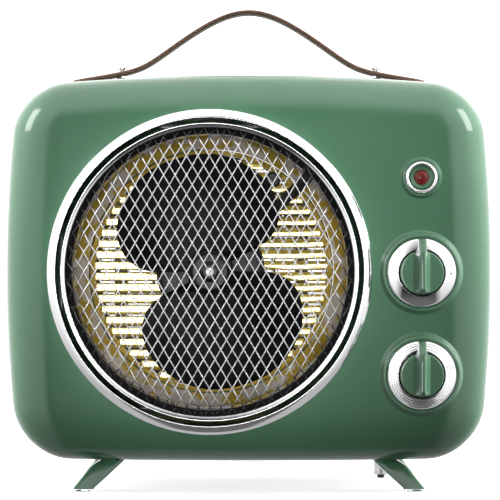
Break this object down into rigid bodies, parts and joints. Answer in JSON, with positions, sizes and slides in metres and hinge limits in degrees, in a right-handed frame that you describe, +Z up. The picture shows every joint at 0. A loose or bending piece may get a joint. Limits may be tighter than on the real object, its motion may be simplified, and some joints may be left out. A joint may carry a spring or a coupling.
{
  "type": "ceramic fan heater",
  "caption": "Portable retro ceramic fan heater: bowed enamel box, round mesh outlet, fan before gold ribs, rotary controls, leather strap and splayed feet.",
  "frame": {"origin": "on the floor, at the middle of the whole heater's width and depth", "axes": "+X to the heater's right as seen from the front, +Y to its back, +Z up; the outlet faces -Y"},
  "size_m": [0.26, 0.1653, 0.2614],
  "materials": {
    "enamel": "smooth gloss stove enamel, mid green",
    "knob_plastic": "gloss moulded plastic, green to match the casing",
    "chrome": "bright chrome plate",
    "mesh_wire": "bright plated steel wire",
    "gold": "gold anodised, bright",
    "fan_plastic": "gloss black moulding",
    "black_plastic": "fine matt black moulding",
    "lead_sleeve": "black sleeving",
    "steel": "zinc plated steel",
    "copper": "enamelled copper wire",
    "bronze": "plain turned bronze and brass",
    "aluminium": "bare rolled strip",
    "polished_aluminium": "bright polished reflector",
    "ptc_ceramic": "unglazed grey ceramic",
    "leather": "dark brown strap leather, dyed edges",
    "lamp_red": "clear dark red lens, unlit",
    "cream_plastic": "cream moulding"
  },
  "bodies": {
    "housing": {"front_casing": "enamel", "rear_cover": "enamel", "lamp_dish": "enamel", "outlet_bezel": "chrome", "mesh_clamp_ring": "chrome", "selector_dial": "chrome", "thermostat_dial": "chrome", "lamp_rim": "chrome", "strap_stud_left": "chrome", "strap_stud_right": "chrome", "foot_front_left": "chrome", "foot_front_right": "chrome", "foot_rear_left": "chrome", "foot_rear_right": "chrome", "mesh_grille": "mesh_wire", "rib_plate": "gold", "reflector_ring": "polished_aluminium", "air_duct": "black_plastic", "element_holder_left": "black_plastic", "element_holder_right": "black_plastic", "motor_cup": "black_plastic", "thermal_cut_out": "black_plastic", "intake_grille": "black_plastic", "cord_gland": "black_plastic", "selector_switch": "black_plastic", "thermostat_switch": "black_plastic", "tip_microswitch": "black_plastic", "strap_spacer_left": "black_plastic", "strap_spacer_right": "black_plastic", "motor_lead": "lead_sleeve", "cover_screw_top_left": "steel", "cover_screw_top_right": "steel", "cover_screw_base_left": "steel", "cover_screw_base_right": "steel", "motor_back_plate": "steel", "motor_stator": "steel", "control_bracket": "steel", "tip_switch_housing": "steel", "tip_spring": "steel", "motor_winding": "copper", "bearing_front": "bronze", "bearing_rear": "bronze", "fin_pack_lower": "aluminium", "fin_pack_middle": "aluminium", "fin_pack_upper": "aluminium", "ptc_bar_lower": "ptc_ceramic", "ptc_bar_upper": "ptc_ceramic", "handle_strap": "leather", "lamp_lens": "lamp_red", "terminal_block": "cream_plastic", "lamp_holder": "cream_plastic"},
    "fan": {"fan_impeller": "fan_plastic", "fan_nut": "fan_plastic", "motor_shaft": "steel", "motor_rotor": "steel"},
    "selector": {"selector_cap": "knob_plastic", "selector_spindle": "bronze"},
    "thermostat": {"thermostat_cap": "knob_plastic", "thermostat_spindle": "bronze"},
    "tip_pin": {"tip_plunger": "black_plastic"}
  },
  "joints": [
    {"name": "fan_spin", "type": "hinge", "parent": "housing", "child": "fan", "pos_m": [-0.0207, -0.0495, 0.1172], "axis": [0, 1, 0], "continuous": true},
    {"name": "selector_turn", "type": "hinge", "parent": "housing", "child": "selector", "pos_m": [0.0915, -0.068, 0.1168], "axis": [0, 1, 0], "range_deg": [0, 90]},
    {"name": "thermostat_turn", "type": "hinge", "parent": "housing", "child": "thermostat", "pos_m": [0.0915, -0.068, 0.0627], "axis": [0, 1, 0], "range_deg": [-135, 135]},
    {"name": "tip_pin_slide", "type": "slide", "parent": "housing", "child": "tip_pin", "axis": [0, 0, -1], "range_m": [0, 0.004], "stiffness_N_per_m": 30, "springref_m": 0.014, "deforming": ["tip_spring"]}
  ]
}
